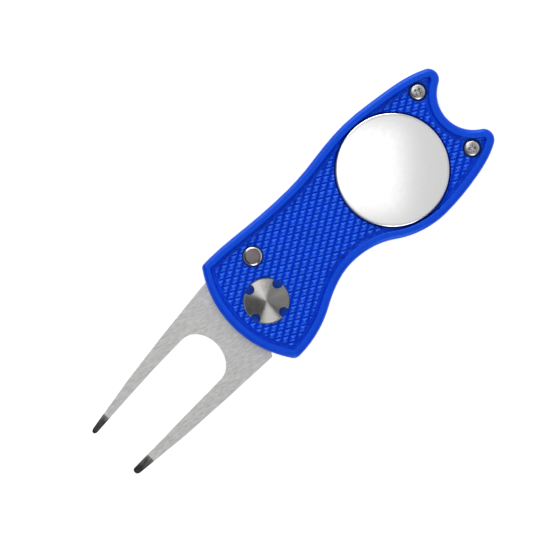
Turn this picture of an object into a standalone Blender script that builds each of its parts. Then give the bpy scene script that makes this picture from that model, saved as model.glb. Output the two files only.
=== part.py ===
"""Folding divot repair tool with a spring-out fork, a release button and a magnetic ball marker.

Lengths are in millimetres and angles in degrees until a mesh is made, where MM turns them into metres.
The origin is on the fork's pivot axis, on the flat back pad. +X runs along the handle to its notched
head, +Y to its spine and +Z out of its front face. The fork is drawn open, along -X.
"""

import math

import bmesh
import bpy

MM = 0.001
ARC_STEP = 7.5  # degrees of turn for each straight piece of a curve

# Handle: two shells that meet halfway up
THICKNESS = 9.0
MIDDLE = THICKNESS / 2
SEAM = 0.05  # gap between the shells
EDGE_RADIUS = 0.7  # rounded outer edge of each shell
EDGE_STEPS = 3
RIM_WIDTH = 2.35
PANEL_DEPTH = 0.7  # the panel lies this far below the rim
PAD_RADIUS = 9.0  # flat round pad on the back, level with the rim

# Fork and the space that it turns in
FORK_THICKNESS = 1.6
CAVITY = 2.1
TANG_RADIUS = 8.05
OPEN_SHOULDER = 74.8  # rests against the stop pin when open
CLOSED_SHOULDER = 229.0  # rests against it when closed
SPINE_WALL_Y = 10.0  # inner face of the wall along the spine
TAIL_WALL_Y = 13.1  # the same wall where it passes the tang
SWING_RADIUS = 48.7  # inner face of the head wall, just clear of the fork's tips
CAVITY_STEP_X = (3.4, 9.0)  # the spine wall steps out to the tail wall between these
CAVITY_REACH = 60.0  # how far the cavity's cutter runs past the handle
FORK_TILT = 2.3  # the fork's own axis leans this far from the handle's
GROUND_LENGTH = 5.2  # the prongs are ground thinner over this length at their tips
GROUND_DEPTH = 0.45  # taken off each face at the very end
TIP_REACH = 47.6
WEDGE_HALF_WIDTH = 12.0

# Release button on the pivot axis
BUTTON_RADIUS = 4.8
BUTTON_TOP = 9.2
BUTTON_NOTCH = 1.2
NOTCH_ANGLE = 13.0
FLANGE_RADIUS = 5.6
FLANGE_TOP = 7.35
FLANGE_HEIGHT = 0.6
NECK_RADIUS = 3.8
FLANGE_GAP = 0.05
COLLAR_TOP = 3.55
COLLAR_HEIGHT = 1.1
BUTTON_BORE_RADIUS = 2.6
BUTTON_BORE_TOP = 6.2
BORE_CLEARANCE = 0.2
LUG_CLEARANCE = 0.2
LUG_TOP = 7.9  # the front shell's lugs stop below its panel
BUTTON_CHAMFER = 0.15

# Springs under the button and around its collar
POCKET_RADIUS = 6.5
POCKET_FLOOR = 0.9
TORSION_RADIUS = 5.9
TORSION_WIRE = 0.6
TORSION_PITCH = 0.68
TORSION_TURNS = 2.75
TORSION_LEG_ANGLE = -60.0
TORSION_LEG_RADII = (8.6, 7.4, 6.4)  # the fixed leg's route, inwards
TORSION_LEG_RISE = 0.45
LEG_SLOT = (5.6, 8.9)  # near and far ends of the slot for the fixed leg
LEG_SLOT_CLEARANCE = 0.15
LEG_HOLE_CLEARANCE = 0.12
SPRING_GAP = 0.1
BUTTON_SPRING_RADIUS = 2.1
BUTTON_SPRING_WIRE = 0.4
BUTTON_SPRING_TURNS = 5.5
SEAT_RADIUS = 4.6
SEAT_THICKNESS = 0.2

# Washers either side of the fork
WASHER_THICKNESS = 0.2
WASHER_GAP = 0.025
WASHER_RADIUS = 7.9
FRONT_WASHER_HOLE = 6.1
BACK_WASHER_HOLE = 6.65

# Stop pin
PIN_PLACE = (4.76, 9.09)
PIN_RADIUS = 2.1
PIN_CHAMFER = 0.35
PIN_BOTTOM = 1.4
PIN_TOP = 8.75
PRESS_GAP = 0.07

# Ball marker and the magnet under it
MARKER_PLACE = (39.86, 0.99)
MARKER_RADIUS = 12.5
MARKER_THICKNESS = 1.35
MARKER_CHAMFER = 0.25
MARKER_SEAT = 7.6
MARKER_CLEARANCE = 0.25
MAGNET_RADIUS = 5.1
MAGNET_THICKNESS = 1.5
MAGNET_FLOOR = 5.95
MAGNET_CHAMFER = 0.1
REST_GAP = 0.05

# Screws at the two horns, with threaded inserts in the back shell
SCREW_PLACES = {"upper": (55.87, 9.27), "lower": (55.65, -7.9)}
SCREW_HEAD_RADIUS = 1.75
SCREW_HEAD_TOP = 8.4
SCREW_SHANK_RADIUS = 0.9
SCREW_CLEARANCE = 0.25
SCREW_ROUNDING = 0.35
SCREW_TIP = 1.8
SCREW_SEAT = 6.3
COUNTERBORE_RADIUS = 2.2
CROSS_LENGTH = 1.9
CROSS_WIDTH = 0.5
CROSS_DEPTH = 0.6
INSERT_RADIUS = 1.6
INSERT_HOLE = 1.0
INSERT_HEIGHT = 2.7
INSERT_BOTTOM = 1.6
INSERT_POCKET_FLOOR = 1.4
INSERT_GROOVE_DEPTH = 0.2
INSERT_GROOVE_WIDTHS = (0.3, 0.6)  # at its bottom and at its mouth

# Pegs moulded on the back shell, which locate the front shell along the spine
PEG_PLACES = ((20.5, 12.05), (38.0, 12.9))
PEG_RADIUS = 0.8
PEG_TOP = 6.4
PEG_CHAMFER = 0.3
PEG_CLEARANCE = 0.1
PEG_END_GAP = 0.2

OVERSHOOT = 1.0  # how far a cutter runs past what it cuts

# Handle outline, anticlockwise: x, y, direction of travel
HANDLE_KNOTS = (
    (-3.1, -13.65, 0.5),
    (8.8, -10.5, 29.0),
    (19.4, -7.2, 0.0),
    (29.8, -10.35, -35.0),
    (41.7, -14.05, 0.0),
    (52.2, -13.0, 10.5),
    (59.85, -10.5, 30.0),
    (61.15, -8.35, 90.0),
    (60.05, -6.3, 148.0),
    (56.3, 0.45, 90.0),
    (60.5, 7.45, 28.0),
    (61.8, 9.55, 90.0),
    (60.5, 11.7, 154.0),
    (50.0, 14.5, 172.0),
    (39.0, 15.65, 180.0),
    (29.5, 14.85, 188.5),
    (20.4, 14.1, 180.0),
    (8.0, 14.75, 174.5),
    (-2.5, 15.5, 180.0),
    (-4.2, 15.45, 181.0),
    (-5.03, 15.0, 235.5),
    (-9.25, 1.2, 270.0),
    (-4.75, -12.95, 305.0),
)

# Fork outline, anticlockwise from the tang's upper corner to its lower one
UPPER_PRONG_KNOTS = (
    (2.3, 12.5, 180.0),
    (-8.8, 12.15, 186.0),
    (-46.2, 7.0, 191.0),
    (-47.5, 6.2, 270.0),
    (-46.5, 5.65, 3.5),
    (-19.3, 6.98, 0.0),
)
LOWER_PRONG_KNOTS = (
    (-19.5, -5.17, 180.0),
    (-46.5, -5.65, 180.6),
    (-47.1, -6.5, 270.0),
    (-46.2, -7.3, 352.8),
    (-7.95, -9.62, 358.0),
    (-7.33, -9.03, 411.0),
)
CROTCH_KNOTS = (
    (-19.3, 6.98, 0.0),
    (-14.44, 1.1, 270.0),
    (-19.5, -5.17, 180.0),
)
SHOULDER_TOP = 12.0  # distance of the open shoulder's corner from the pivot

BLUE = (0.012, 0.085, 0.72)
STEEL = (0.56, 0.56, 0.55)


# ---------------------------------------------------------------- outlines


def arc(centre, radius, start, end):
    """Points of an arc from one angle to another; it runs clockwise where the end is the smaller."""
    count = max(2, math.ceil(abs(end - start) / ARC_STEP))
    angles = [math.radians(start + (end - start) * i / count) for i in range(count + 1)]
    return [(centre[0] + radius * math.cos(a), centre[1] + radius * math.sin(a)) for a in angles]


def bend(start, heading, end, end_heading):
    """Points of a smooth curve between two points, given the direction of travel at each."""
    turn = (end_heading - heading + 180.0) % 360.0 - 180.0
    chord = math.dist(start, end)
    reach = chord / (3.0 * math.cos(math.radians(turn) / 4.0) ** 2)
    out, back = math.radians(heading), math.radians(end_heading)
    second = (start[0] + reach * math.cos(out), start[1] + reach * math.sin(out))
    third = (end[0] - reach * math.cos(back), end[1] - reach * math.sin(back))
    count = max(2, math.ceil(abs(turn) / ARC_STEP))
    points = []
    for i in range(count + 1):
        t = i / count
        weights = ((1 - t) ** 3, 3 * t * (1 - t) ** 2, 3 * t * t * (1 - t), t**3)
        corners = (start, second, third, end)
        points.append(tuple(sum(w * c[k] for w, c in zip(weights, corners)) for k in (0, 1)))
    return points


def chain(knots):
    """Points of a smooth curve through knots of x, y and direction of travel."""
    points = []
    for (x0, y0, heading0), (x1, y1, heading1) in zip(knots, knots[1:]):
        points += bend((x0, y0), heading0, (x1, y1), heading1)
    return points


def without_repeats(points, closest=0.01):
    """The closed outline with each run of points that coincide made one."""
    kept = []
    for point in points:
        if not kept or math.dist(point, kept[-1]) > closest:
            kept.append(point)
    if math.dist(kept[0], kept[-1]) <= closest:
        kept.pop()
    return kept


def polar(radius, angle):
    """The point at a radius and an angle in degrees."""
    turn = math.radians(angle)
    return radius * math.cos(turn), radius * math.sin(turn)


def unit(start, end):
    """The direction from one point to another."""
    length = math.dist(start, end)
    return (end[0] - start[0]) / length, (end[1] - start[1]) / length


def grown(points, distance):
    """The anticlockwise outline with each side moved out by a distance, or in where it is negative."""
    moved = []
    for i, (x, y) in enumerate(points):
        before = unit(points[i - 1], points[i])
        after = unit(points[i], points[(i + 1) % len(points)])
        sum_x, sum_y = before[0] + after[0], before[1] + after[1]
        mitre = 2.0 * distance / (sum_x * sum_x + sum_y * sum_y)
        moved.append((x + sum_y * mitre, y - sum_x * mitre))
    return moved


def distance_to(outline, point):
    """Shortest distance from a point to a closed outline."""
    nearest = math.inf
    for (ax, ay), (bx, by) in zip(outline, outline[1:] + outline[:1]):
        dx, dy = bx - ax, by - ay
        t = ((point[0] - ax) * dx + (point[1] - ay) * dy) / (dx * dx + dy * dy)
        t = min(1.0, max(0.0, t))
        nearest = min(nearest, math.dist(point, (ax + t * dx, ay + t * dy)))
    return nearest


def inset(points, distance, tolerance=0.02):
    """An outline inside the given one, with the points that would fold back at tight corners left out."""
    moved = grown(points, -distance)
    kept = [p for p in moved if distance_to(points, p) > distance - tolerance]
    return without_repeats(kept, closest=0.25)


def handle_outline():
    return without_repeats(chain(HANDLE_KNOTS + HANDLE_KNOTS[:1]))


def fork_outline():
    shoulder = polar(SHOULDER_TOP, OPEN_SHOULDER)
    points = arc((0, 0), TANG_RADIUS, CLOSED_SHOULDER - 360.0, OPEN_SHOULDER)
    points += bend(shoulder, OPEN_SHOULDER, UPPER_PRONG_KNOTS[0][:2], UPPER_PRONG_KNOTS[0][2])
    points += chain(UPPER_PRONG_KNOTS)
    points += chain(CROTCH_KNOTS)
    points += chain(LOWER_PRONG_KNOTS)
    return without_repeats(points)


def cavity_outline():
    """The space between the shells that the fork turns in, carried well out past the tail and belly."""
    start = -45.0  # this direction already points out through the open belly side
    end = math.degrees(math.asin(SPINE_WALL_Y / SWING_RADIUS))
    points = [(-CAVITY_REACH, -CAVITY_REACH), (polar(SWING_RADIUS, start)[0], -CAVITY_REACH)]
    points += arc((0, 0), SWING_RADIUS, start, end)
    points += [(CAVITY_STEP_X[1], SPINE_WALL_Y), (CAVITY_STEP_X[0], TAIL_WALL_Y)]
    points.append((-CAVITY_REACH, TAIL_WALL_Y))
    return points


def lobed_outline(radius, notch):
    """A circle with four round notches centred on its edge."""
    half = math.degrees(2.0 * math.asin(notch / (2.0 * radius)))
    points = []
    for k in range(4):
        angle = NOTCH_ANGLE + 90.0 * k
        points += arc((0, 0), radius, angle - 90.0 + half, angle - half)
        points += arc(polar(radius, angle), notch, angle - 90.0 - half / 2.0, angle - 270.0 + half / 2.0)
    return without_repeats(points)


# ---------------------------------------------------------------- solids


def material(name, colour, roughness, metallic):
    made = bpy.data.materials.new(name)
    made.use_nodes = True
    shader = made.node_tree.nodes["Principled BSDF"]
    shader.inputs["Base Color"].default_value = (*colour, 1.0)
    shader.inputs["Roughness"].default_value = roughness
    shader.inputs["Metallic"].default_value = metallic
    return made


def placed(name, mesh, place, finish):
    """An object for the mesh at an x, y place. One with no finish is a cutter or helper, and is hidden."""
    obj = bpy.data.objects.new(name, mesh)
    obj.location = (place[0] * MM, place[1] * MM, 0.0)
    bpy.context.scene.collection.objects.link(obj)
    if finish:
        mesh.materials.append(finish)
        mesh.shade_smooth()
        mesh.set_sharp_from_angle(angle=math.radians(35.0))
    else:
        obj.hide_render = True
        obj.display_type = "WIRE"
    return obj


def finished_mesh(name, bm):
    bmesh.ops.recalc_face_normals(bm, faces=bm.faces)
    mesh = bpy.data.meshes.new(name)
    bm.to_mesh(mesh)
    bm.free()
    return mesh


def stack(name, layers, place=(0, 0), finish=None):
    """A solid through layers of (outline, z), whose outlines all have the same number of points."""
    bm = bmesh.new()
    rings = [[bm.verts.new((x * MM, y * MM, z * MM)) for x, y in outline] for outline, z in layers]
    for low, high in zip(rings, rings[1:]):
        for i in range(len(low)):
            bm.faces.new((low[i - 1], low[i], high[i], high[i - 1]))
    bm.faces.new(rings[0])
    bm.faces.new(rings[-1])
    return placed(name, finished_mesh(name, bm), place, finish)


def prism(name, outline, low, high, place=(0, 0), finish=None):
    return stack(name, [(outline, low), (outline, high)], place, finish)


def turned(name, profile, place=(0, 0), finish=None, steps=48, ring=False):
    """A solid turned about a vertical axis from a profile of (radius, z); a ring's profile is closed."""
    bm = bmesh.new()
    verts = [bm.verts.new((radius * MM, 0.0, z * MM)) for radius, z in profile]
    edges = [bm.edges.new(pair) for pair in zip(verts, verts[1:])]
    if ring:
        edges.append(bm.edges.new((verts[-1], verts[0])))
    spin = {"cent": (0, 0, 0), "axis": (0, 0, 1), "angle": math.tau, "steps": steps, "use_merge": True}
    bmesh.ops.spin(bm, geom=verts + edges, **spin)
    bmesh.ops.remove_doubles(bm, verts=bm.verts, dist=1e-7)
    return placed(name, finished_mesh(name, bm), place, finish)


def round_hole(name, radius, low, high, place=(0, 0), steps=32):
    """A plain round cutter."""
    return turned(name, [(0, low), (radius, low), (radius, high), (0, high)], place, steps=steps)


def combine(target, others, operation):
    """Adds a Boolean to the target for each of the others."""
    for other in others:
        modifier = target.modifiers.new(other.name, "BOOLEAN")
        modifier.operation = operation
        modifier.solver = "EXACT"
        modifier.object = other


def wire(name, route, diameter, finish):
    """A round wire along a route of (x, y, z)."""
    curve = bpy.data.curves.new(name, "CURVE")
    curve.dimensions = "3D"
    curve.bevel_depth = diameter / 2 * MM
    curve.bevel_resolution = 2
    curve.use_fill_caps = True
    spline = curve.splines.new("POLY")
    spline.points.add(len(route) - 1)
    for point, (x, y, z) in zip(spline.points, route):
        point.co = (x * MM, y * MM, z * MM, 1.0)
    curve.materials.append(finish)
    obj = bpy.data.objects.new(name, curve)
    bpy.context.scene.collection.objects.link(obj)
    return obj


def helix(radius, low, high, turns, start=0.0, sides=20):
    """Points of a coil from one height to another, starting at an angle."""
    count = round(turns * sides)
    route = []
    for i in range(count + 1):
        angle = math.radians(start) + math.tau * turns * i / count
        route.append((radius * math.cos(angle), radius * math.sin(angle), low + (high - low) * i / count))
    return route


# ---------------------------------------------------------------- handle shells


def rounded_shell(name, outline, outer, inner, finish):
    """Shell body from its outer face, with the rounded edge, to the face where the shells meet."""
    up = 1.0 if inner > outer else -1.0
    layers = []
    for i in range(EDGE_STEPS + 1):
        angle = math.radians(90.0 * i / EDGE_STEPS)
        pulled_in = EDGE_RADIUS * (1.0 - math.sin(angle))
        risen = EDGE_RADIUS * (1.0 - math.cos(angle))
        layers.append((grown(outline, -pulled_in), outer + up * risen))
    layers.append((outline, inner))
    return stack(name, layers, finish=finish)


def front_shell(finish):
    outline = handle_outline()
    shell = rounded_shell("front_shell", outline, THICKNESS, MIDDLE + SEAM / 2, finish)
    below, above = MIDDLE - OVERSHOOT, THICKNESS + OVERSHOOT
    marker_hole = MARKER_RADIUS + MARKER_CLEARANCE
    magnet_hole = MAGNET_RADIUS + PRESS_GAP
    seat = [(0, MAGNET_FLOOR), (magnet_hole, MAGNET_FLOOR), (magnet_hole, MARKER_SEAT)]
    seat += [(marker_hole, MARKER_SEAT), (marker_hole, above), (0, above)]
    cap_hole = BUTTON_RADIUS + BORE_CLEARANCE
    flange_hole = FLANGE_RADIUS + BORE_CLEARANCE
    bore = lobed_outline(cap_hole, BUTTON_NOTCH - LUG_CLEARANCE)
    cutters = [
        prism("front_panel_cutter", inset(outline, RIM_WIDTH), THICKNESS - PANEL_DEPTH, above),
        prism("front_cavity_cutter", cavity_outline(), below, MIDDLE + CAVITY / 2),
        turned("marker_seat_cutter", seat, MARKER_PLACE, steps=72),
        round_hole("flange_cutter", flange_hole, below, FLANGE_TOP + FLANGE_GAP, steps=48),
        prism("button_bore_cutter", bore, FLANGE_TOP - BUTTON_CHAMFER, above),
        round_hole("lug_top_cutter", cap_hole, LUG_TOP, above, steps=48),
        round_hole("front_pin_cutter", PIN_RADIUS + PRESS_GAP, below, above, PIN_PLACE),
    ]
    for which, place in SCREW_PLACES.items():
        clearance = SCREW_SHANK_RADIUS + SCREW_CLEARANCE
        profile = [(0, below), (clearance, below), (clearance, SCREW_SEAT)]
        profile += [(COUNTERBORE_RADIUS, SCREW_SEAT), (COUNTERBORE_RADIUS, above), (0, above)]
        cutters.append(turned(f"{which}_screw_cutter", profile, place, steps=28))
    socket_radius, socket_top = PEG_RADIUS + PEG_CLEARANCE, PEG_TOP + PEG_END_GAP
    for i, place in enumerate(PEG_PLACES):
        name = f"peg_socket_cutter_{i + 1}"
        cutters.append(round_hole(name, socket_radius, below, socket_top, place, 20))
    combine(shell, cutters, "DIFFERENCE")
    return shell


def back_shell(finish):
    outline = handle_outline()
    shell = rounded_shell("back_shell", outline, 0.0, MIDDLE - SEAM / 2, finish)
    below, above = -OVERSHOOT, MIDDLE + OVERSHOOT
    panel = prism("back_panel_cutter", inset(outline, RIM_WIDTH), below, PANEL_DEPTH)
    pad = round_hole("back_pad_cutter", PAD_RADIUS, below - OVERSHOOT, PANEL_DEPTH + OVERSHOOT, steps=64)
    combine(panel, [pad], "DIFFERENCE")
    cutters = [
        panel,
        prism("back_cavity_cutter", cavity_outline(), MIDDLE - CAVITY / 2, above),
        round_hole("spring_pocket_cutter", POCKET_RADIUS, POCKET_FLOOR, above, steps=60),
        round_hole("back_pin_cutter", PIN_RADIUS + PRESS_GAP, PIN_BOTTOM - REST_GAP, above, PIN_PLACE),
        prism("spring_leg_cutter", spring_leg_slot(), POCKET_FLOOR + REST_GAP, above),
    ]
    for which, place in SCREW_PLACES.items():
        name = f"{which}_insert_cutter"
        cutters.append(round_hole(name, INSERT_RADIUS + PRESS_GAP, INSERT_POCKET_FLOOR, above, place, 28))
    combine(shell, cutters, "DIFFERENCE")
    pegs = []
    for i, place in enumerate(PEG_PLACES):
        foot = MIDDLE - 2 * OVERSHOOT
        peg = [(0, foot), (PEG_RADIUS, foot), (PEG_RADIUS, PEG_TOP - PEG_CHAMFER)]
        peg += [(PEG_RADIUS - PEG_CHAMFER, PEG_TOP), (0, PEG_TOP)]
        pegs.append(turned(f"peg_{i + 1}", peg, place, steps=20))
    combine(shell, pegs, "UNION")
    return shell


def spring_leg_slot():
    """Outline of the slot that holds the torsion spring's fixed leg, out from the spring's pocket."""
    along = polar(1.0, TORSION_LEG_ANGLE)
    half = TORSION_WIRE / 2 + LEG_SLOT_CLEARANCE
    near, far = LEG_SLOT
    corners = ((near, -half), (far, -half), (far, half), (near, half))
    return [(r * along[0] - s * along[1], r * along[1] + s * along[0]) for r, s in corners]


# ---------------------------------------------------------------- fork and pivot


def torsion_leg_place():
    """Where the torsion spring's turning leg stands in the fork."""
    end = TORSION_LEG_ANGLE + 360.0 * TORSION_TURNS
    return polar(TORSION_RADIUS, end)


def fork(finish):
    low, high = MIDDLE - FORK_THICKNESS / 2, MIDDLE + FORK_THICKNESS / 2
    blade = prism("fork", fork_outline(), low, high, finish=finish)
    hole = lobed_outline(BUTTON_RADIUS + BORE_CLEARANCE, BUTTON_NOTCH - LUG_CLEARANCE)
    below, above = low - OVERSHOOT, high + OVERSHOOT
    leg_hole_radius = TORSION_WIRE / 2 + LEG_HOLE_CLEARANCE
    cutters = [
        prism("fork_hole_cutter", hole, below, above),
        round_hole("leg_hole_cutter", leg_hole_radius, below, above, torsion_leg_place(), 12),
        grinding_wedge("upper_grinding_cutter", high, 1.0),
        grinding_wedge("lower_grinding_cutter", low, -1.0),
    ]
    combine(blade, cutters, "DIFFERENCE")
    return blade


def grinding_wedge(name, face, outward):
    """Cutter that thins both tips from one face, evenly to the very end."""
    start, end = TIP_REACH - GROUND_LENGTH, TIP_REACH + OVERSHOOT
    slope = GROUND_DEPTH / GROUND_LENGTH
    section = [(-start, face), (-start, face + outward * OVERSHOOT), (-end, face + outward * OVERSHOOT)]
    section.append((-end, face - outward * slope * (end - start)))
    bm = bmesh.new()
    sides = []
    for y in (-WEDGE_HALF_WIDTH, WEDGE_HALF_WIDTH):
        sides.append([bm.verts.new((x * MM, y * MM, z * MM)) for x, z in section])
    for i in range(len(section)):
        bm.faces.new((sides[0][i - 1], sides[0][i], sides[1][i], sides[1][i - 1]))
    for side in sides:
        bm.faces.new(side)
    wedge = placed(name, finished_mesh(name, bm), (0, 0), None)
    wedge.rotation_euler.z = math.radians(FORK_TILT)
    return wedge


def washer(name, hole, low, finish):
    high = low + WASHER_THICKNESS
    profile = [(hole, low), (WASHER_RADIUS, low), (WASHER_RADIUS, high), (hole, high)]
    return turned(name, profile, finish=finish, steps=48, ring=True)


def spring_seat(finish):
    """Steel disc that keeps the button spring's end out of the moulding."""
    low = POCKET_FLOOR + REST_GAP / 2
    profile = [(0, low), (SEAT_RADIUS, low), (SEAT_RADIUS, low + SEAT_THICKNESS), (0, low + SEAT_THICKNESS)]
    return turned("spring_seat", profile, finish=finish, steps=36)


def release_button(finish):
    """Cap, retaining flange, neck that the fork turns on, and the notched locking collar below the fork."""
    collar_bottom = COLLAR_TOP - COLLAR_HEIGHT
    flange_bottom = FLANGE_TOP - FLANGE_HEIGHT
    core_bottom = collar_bottom + COLLAR_HEIGHT / 4
    core = [(0, core_bottom), (NECK_RADIUS, core_bottom), (NECK_RADIUS, flange_bottom)]
    core += [(FLANGE_RADIUS, flange_bottom), (FLANGE_RADIUS, FLANGE_TOP), (0, FLANGE_TOP)]
    button = turned("release_button", core, finish=finish, steps=60)
    shape = lobed_outline(BUTTON_RADIUS, BUTTON_NOTCH)
    cap_layers = [(shape, flange_bottom + FLANGE_HEIGHT / 2), (shape, BUTTON_TOP - BUTTON_CHAMFER)]
    cap_layers.append((grown(shape, -BUTTON_CHAMFER), BUTTON_TOP))
    cap = stack("button_cap", cap_layers)
    collar = prism("button_collar", shape, collar_bottom, COLLAR_TOP)
    combine(button, [cap, collar], "UNION")
    bore_bottom = collar_bottom - OVERSHOOT
    bore = round_hole("button_bore_tool", BUTTON_BORE_RADIUS, bore_bottom, BUTTON_BORE_TOP)
    combine(button, [bore], "DIFFERENCE")
    return button


def button_spring(finish):
    half_wire = BUTTON_SPRING_WIRE / 2
    low = POCKET_FLOOR + REST_GAP + SEAT_THICKNESS + half_wire
    high = BUTTON_BORE_TOP - half_wire - REST_GAP
    route = helix(BUTTON_SPRING_RADIUS, low, high, BUTTON_SPRING_TURNS, sides=16)
    return wire("button_spring", route, BUTTON_SPRING_WIRE, finish)


def torsion_spring(finish):
    """Coil round the collar, with one leg in the back shell's slot and one standing in the fork."""
    low = POCKET_FLOOR + TORSION_WIRE / 2 + SPRING_GAP
    high = low + TORSION_PITCH * TORSION_TURNS
    coil = helix(TORSION_RADIUS, low, high, TORSION_TURNS, TORSION_LEG_ANGLE)
    fixed_leg = [(*polar(radius, TORSION_LEG_ANGLE), low) for radius in TORSION_LEG_RADII]
    x, y, _ = coil[-1]
    turning_leg = [(x, y, high + TORSION_LEG_RISE), (x, y, MIDDLE + FORK_THICKNESS / 4)]
    return wire("torsion_spring", fixed_leg + coil + turning_leg, TORSION_WIRE, finish)


def stop_pin(finish):
    profile = [(0, PIN_BOTTOM), (PIN_RADIUS, PIN_BOTTOM), (PIN_RADIUS, PIN_TOP - PIN_CHAMFER)]
    profile += [(PIN_RADIUS - PIN_CHAMFER, PIN_TOP), (0, PIN_TOP)]
    return turned("stop_pin", profile, PIN_PLACE, finish, steps=32)


# ---------------------------------------------------------------- screws, magnet and marker


def screw(which, place, finish):
    """Pan-head screw with a cross recess."""
    under = SCREW_SEAT + REST_GAP
    point = SCREW_SHANK_RADIUS / 4
    profile = [(0, SCREW_TIP), (SCREW_SHANK_RADIUS - point, SCREW_TIP)]
    profile.append((SCREW_SHANK_RADIUS, SCREW_TIP + point))
    profile += [(SCREW_SHANK_RADIUS, under), (SCREW_HEAD_RADIUS, under)]
    profile += [(SCREW_HEAD_RADIUS, SCREW_HEAD_TOP - SCREW_ROUNDING * 1.6)]
    profile += [(SCREW_HEAD_RADIUS - SCREW_ROUNDING * 0.4, SCREW_HEAD_TOP - SCREW_ROUNDING * 0.5)]
    profile += [(SCREW_HEAD_RADIUS - SCREW_ROUNDING * 1.6, SCREW_HEAD_TOP), (0, SCREW_HEAD_TOP)]
    made = turned(f"{which}_screw", profile, place, finish, steps=28)
    low, high = SCREW_HEAD_TOP - CROSS_DEPTH, SCREW_HEAD_TOP + OVERSHOOT
    combine(made, [prism(f"{which}_cross_cutter", cross_outline(), low, high, place)], "DIFFERENCE")
    return made


def cross_outline():
    """Plus-shaped outline of the driver's recess."""
    long, short = CROSS_LENGTH / 2, CROSS_WIDTH / 2
    arm = [(long, -short), (long, short), (short, short)]
    points = []
    for _ in range(4):
        points += arm
        arm = [(-y, x) for x, y in arm]
    return points


def threaded_insert(which, place, finish):
    """Brass bush with one groove round it."""
    top = INSERT_BOTTOM + INSERT_HEIGHT
    middle = (INSERT_BOTTOM + top) / 2
    narrow, wide = (width / 2 for width in INSERT_GROOVE_WIDTHS)
    groove = INSERT_RADIUS - INSERT_GROOVE_DEPTH
    profile = [(INSERT_HOLE, INSERT_BOTTOM), (INSERT_RADIUS, INSERT_BOTTOM)]
    profile += [(INSERT_RADIUS, middle - wide), (groove, middle - narrow)]
    profile += [(groove, middle + narrow), (INSERT_RADIUS, middle + wide)]
    profile += [(INSERT_RADIUS, top), (INSERT_HOLE, top)]
    return turned(f"{which}_insert", profile, place, finish, steps=28, ring=True)


def marker_magnet(finish):
    low = MAGNET_FLOOR + REST_GAP
    high = low + MAGNET_THICKNESS
    profile = [(0, low), (MAGNET_RADIUS, low), (MAGNET_RADIUS, high - MAGNET_CHAMFER)]
    profile += [(MAGNET_RADIUS - MAGNET_CHAMFER, high), (0, high)]
    return turned("marker_magnet", profile, MARKER_PLACE, finish, steps=48)


def ball_marker(finish):
    low = MARKER_SEAT + REST_GAP
    high = low + MARKER_THICKNESS
    cut = MARKER_CHAMFER
    profile = [(0, low), (MARKER_RADIUS - cut, low), (MARKER_RADIUS, low + cut)]
    profile += [(MARKER_RADIUS, high - cut), (MARKER_RADIUS - cut, high), (0, high)]
    return turned("ball_marker", profile, MARKER_PLACE, finish, steps=72)


def main():
    for obj in list(bpy.data.objects):
        bpy.data.objects.remove(obj)
    blue = material("blue_moulding", BLUE, 0.35, 0.0)
    brushed = material("brushed_stainless", STEEL, 0.32, 1.0)
    turned_steel = material("turned_steel", STEEL, 0.25, 1.0)
    spring_steel = material("spring_steel", (0.45, 0.45, 0.46), 0.3, 1.0)
    bronze = material("bronze_washer", (0.6, 0.42, 0.2), 0.4, 1.0)
    brass = material("brass_insert", (0.72, 0.55, 0.24), 0.35, 1.0)
    nickel = material("nickel_magnet", (0.6, 0.58, 0.54), 0.25, 1.0)
    polished = material("polished_marker", (0.82, 0.82, 0.82), 0.12, 1.0)

    front_shell(blue)
    back_shell(blue)
    fork(brushed)
    release_button(turned_steel)
    spring_seat(turned_steel)
    button_spring(spring_steel)
    torsion_spring(spring_steel)
    cavity_top, cavity_bottom = MIDDLE + CAVITY / 2, MIDDLE - CAVITY / 2
    washer("front_washer", FRONT_WASHER_HOLE, cavity_top - WASHER_GAP - WASHER_THICKNESS, bronze)
    washer("back_washer", BACK_WASHER_HOLE, cavity_bottom + WASHER_GAP, bronze)
    stop_pin(turned_steel)
    for which, place in SCREW_PLACES.items():
        screw(which, place, turned_steel)
        threaded_insert(which, place, brass)
    marker_magnet(nickel)
    ball_marker(polished)


main()
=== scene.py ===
"""Looks of the folding divot repair tool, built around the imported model.

Lengths are in millimetres until a mesh is made, where MM turns them into metres. The fork's pivot is the
Z axis, +X runs along the handle to its notched head, and +Z comes out of the front face.
"""

import math

import bmesh
import bpy
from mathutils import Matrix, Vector


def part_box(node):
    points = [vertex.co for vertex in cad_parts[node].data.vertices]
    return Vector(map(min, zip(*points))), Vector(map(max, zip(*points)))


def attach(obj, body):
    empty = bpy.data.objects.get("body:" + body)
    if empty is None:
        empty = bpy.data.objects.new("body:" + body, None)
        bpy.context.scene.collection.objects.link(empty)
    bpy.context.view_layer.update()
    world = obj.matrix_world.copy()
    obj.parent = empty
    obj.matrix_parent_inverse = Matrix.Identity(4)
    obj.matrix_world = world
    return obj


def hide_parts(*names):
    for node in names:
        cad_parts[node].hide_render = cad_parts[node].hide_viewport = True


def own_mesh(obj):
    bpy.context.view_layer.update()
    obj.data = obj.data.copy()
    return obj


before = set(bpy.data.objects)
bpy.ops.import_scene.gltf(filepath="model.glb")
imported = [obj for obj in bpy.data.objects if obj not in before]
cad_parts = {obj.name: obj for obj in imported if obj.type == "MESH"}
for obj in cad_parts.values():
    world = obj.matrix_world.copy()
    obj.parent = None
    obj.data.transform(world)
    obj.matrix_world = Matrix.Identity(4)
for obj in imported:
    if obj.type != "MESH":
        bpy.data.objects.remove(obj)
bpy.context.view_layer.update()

MM = 0.001
ARC_STEP = 3.0  # degrees of turn for each straight piece of a curve

# ---------------------------------------------------------------- sizes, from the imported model


def box_mm(node):
    low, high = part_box(node)
    return low / MM, high / MM


def centre_mm(node):
    low, high = box_mm(node)
    return (low.x + high.x) / 2, (low.y + high.y) / 2


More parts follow.
